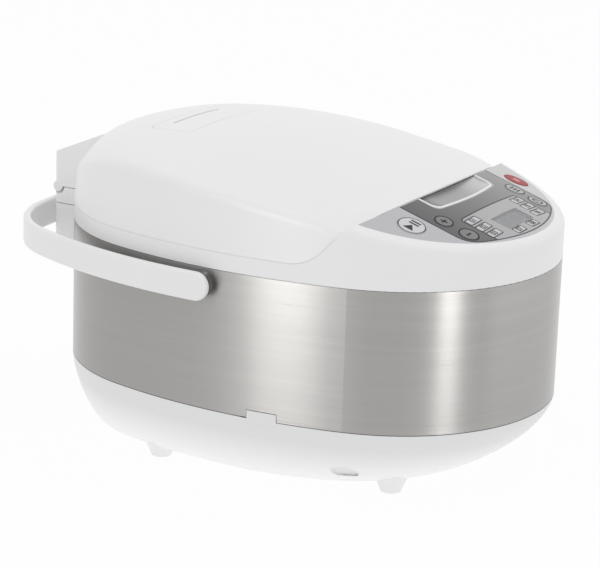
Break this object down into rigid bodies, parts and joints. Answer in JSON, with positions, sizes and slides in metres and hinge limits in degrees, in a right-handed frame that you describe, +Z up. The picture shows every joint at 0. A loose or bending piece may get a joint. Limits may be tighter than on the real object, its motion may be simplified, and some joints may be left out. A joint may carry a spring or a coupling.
{
  "type": "rice cooker",
  "caption": "Oval electric rice cooker with a brushed steel band, hinged white lid with steam vent, sloping control panel, release button, removable pot and swinging carrying handle.",
  "frame": {"origin": "middle of the oval body, on the worktop under the feet", "axes": "+X to the right as seen from the front, +Y from the control panel to the hinge, +Z up"},
  "size_m": [0.294, 0.412, 0.2368],
  "materials": {
    "white_plastic": "smooth white moulding, satin gloss",
    "foot_plastic": "milky soft-touch feet",
    "steel": "brushed level, round the body",
    "panel_film": "printed silver film",
    "clear_window": "clear",
    "display": "blank grey display",
    "circuit_board": "green laminate",
    "zinc_screw": "bright zinc",
    "black_plastic": "moulded",
    "grey_key": "grey key under a dark ring",
    "pale_key": "pale key",
    "red_key": "red key",
    "silver_plastic": "silver lacquer",
    "inner_plastic": "heat-proof moulding",
    "aluminium_plate": "pressed sheet",
    "seal_rubber": "silicone",
    "pot_coating": "non-stick coating on aluminium",
    "well_sheet": "coated steel sheet",
    "cast_heater": "cast plate",
    "spring_wire": "spring steel",
    "iron_core": "laminated core",
    "brass_pin": "plated"
  },
  "bodies": {
    "housing": {"base_pan": "white_plastic", "base_screws": "zinc_screw", "board_screws": "zinc_screw", "capacitor": "black_plastic", "control_board": "circuit_board", "control_overlay": "panel_film", "display_window": "clear_window", "feet": "foot_plastic", "heating_plate": "cast_heater", "hinge_pin": "zinc_screw", "inlet_pins": "brass_pin", "inner_pot": "pot_coating", "inner_well": "well_sheet", "lcd_module": "display", "pivot_collars": "white_plastic", "pivot_nuts": "black_plastic", "power_board": "circuit_board", "power_inlet": "black_plastic", "rear_cover": "white_plastic", "relay": "black_plastic", "sensor_guide": "well_sheet", "sensor_spring": "spring_wire", "steel_band": "steel", "supply_screws": "zinc_screw", "tact_switches": "black_plastic", "thermal_fuse": "aluminium_plate", "transformer": "iron_core", "upper_housing": "white_plastic"},
    "lid": {"lid_shell": "white_plastic", "lid_liner": "inner_plastic", "lid_screws": "zinc_screw", "lid_catch": "zinc_screw", "inner_lid_plate": "aluminium_plate", "pot_gasket": "seal_rubber"},
    "valve": {"steam_valve": "white_plastic"},
    "handle": {"handle_arch": "white_plastic", "pivot_pins": "zinc_screw"},
    "release": {"release_button": "white_plastic", "release_insert": "silver_plastic"},
    "latch": {"latch_hook": "black_plastic"},
    "sensor": {"temperature_sensor": "aluminium_plate"},
    "plus_key": {"plus_key": "grey_key"},
    "minus_key": {"minus_key": "grey_key"},
    "start_key": {"start_key": "pale_key"},
    "cancel_key": {"cancel_key": "red_key"},
    "menu_key": {"menu_key": "grey_key"},
    "timer_key": {"timer_key": "grey_key"}
  },
  "joints": [
    {"name": "lid_hinge", "type": "hinge", "parent": "housing", "child": "lid", "pos_m": [0, 0.2017, 0.17525], "axis": [-1, 0, 0], "range_deg": [0, 80]},
    {"name": "valve_lift", "type": "slide", "parent": "lid", "child": "valve", "axis": [0, 0, 1], "range_m": [0, 0.015]},
    {"name": "handle_pivot", "type": "hinge", "parent": "housing", "child": "handle", "pos_m": [0, 0.015, 0.1505], "axis": [1, 0, 0], "range_deg": [0, 90]},
    {"name": "release_press", "type": "slide", "parent": "housing", "child": "release", "axis": [0, 0.304, -0.9527], "range_m": [0, 0.003], "stiffness_N_per_m": 600, "springref_m": -0.002},
    {"name": "latch_slide", "type": "slide", "parent": "housing", "child": "latch", "axis": [0, -1, 0], "range_m": [0, 0.0025]},
    {"name": "sensor_press", "type": "slide", "parent": "housing", "child": "sensor", "axis": [0, 0, -1], "range_m": [0, 0.0025], "stiffness_N_per_m": 600, "springref_m": -0.002, "deforming": ["sensor_spring"]},
    {"name": "plus_press", "type": "slide", "parent": "housing", "child": "plus_key", "axis": [0, 0.304, -0.9527], "range_m": [0, 0.0006], "stiffness_N_per_m": 1500, "springref_m": -0.0006},
    {"name": "minus_press", "type": "slide", "parent": "housing", "child": "minus_key", "axis": [0, 0.304, -0.9527], "range_m": [0, 0.0006], "stiffness_N_per_m": 1500, "springref_m": -0.0006},
    {"name": "start_press", "type": "slide", "parent": "housing", "child": "start_key", "axis": [0, 0.304, -0.9527], "range_m": [0, 0.0006], "stiffness_N_per_m": 1500, "springref_m": -0.0006},
    {"name": "cancel_press", "type": "slide", "parent": "housing", "child": "cancel_key", "axis": [0, 0.304, -0.9527], "range_m": [0, 0.0006], "stiffness_N_per_m": 1500, "springref_m": -0.0006},
    {"name": "menu_press", "type": "slide", "parent": "housing", "child": "menu_key", "axis": [0, 0.304, -0.9527], "range_m": [0, 0.0006], "stiffness_N_per_m": 1500, "springref_m": -0.0006},
    {"name": "timer_press", "type": "slide", "parent": "housing", "child": "timer_key", "axis": [0, 0.304, -0.9527], "range_m": [0, 0.0006], "stiffness_N_per_m": 1500, "springref_m": -0.0006}
  ],
  "couplings": [
    {"joint": "latch_slide", "follows": "release_press", "ratio": 0.83333}
  ]
}
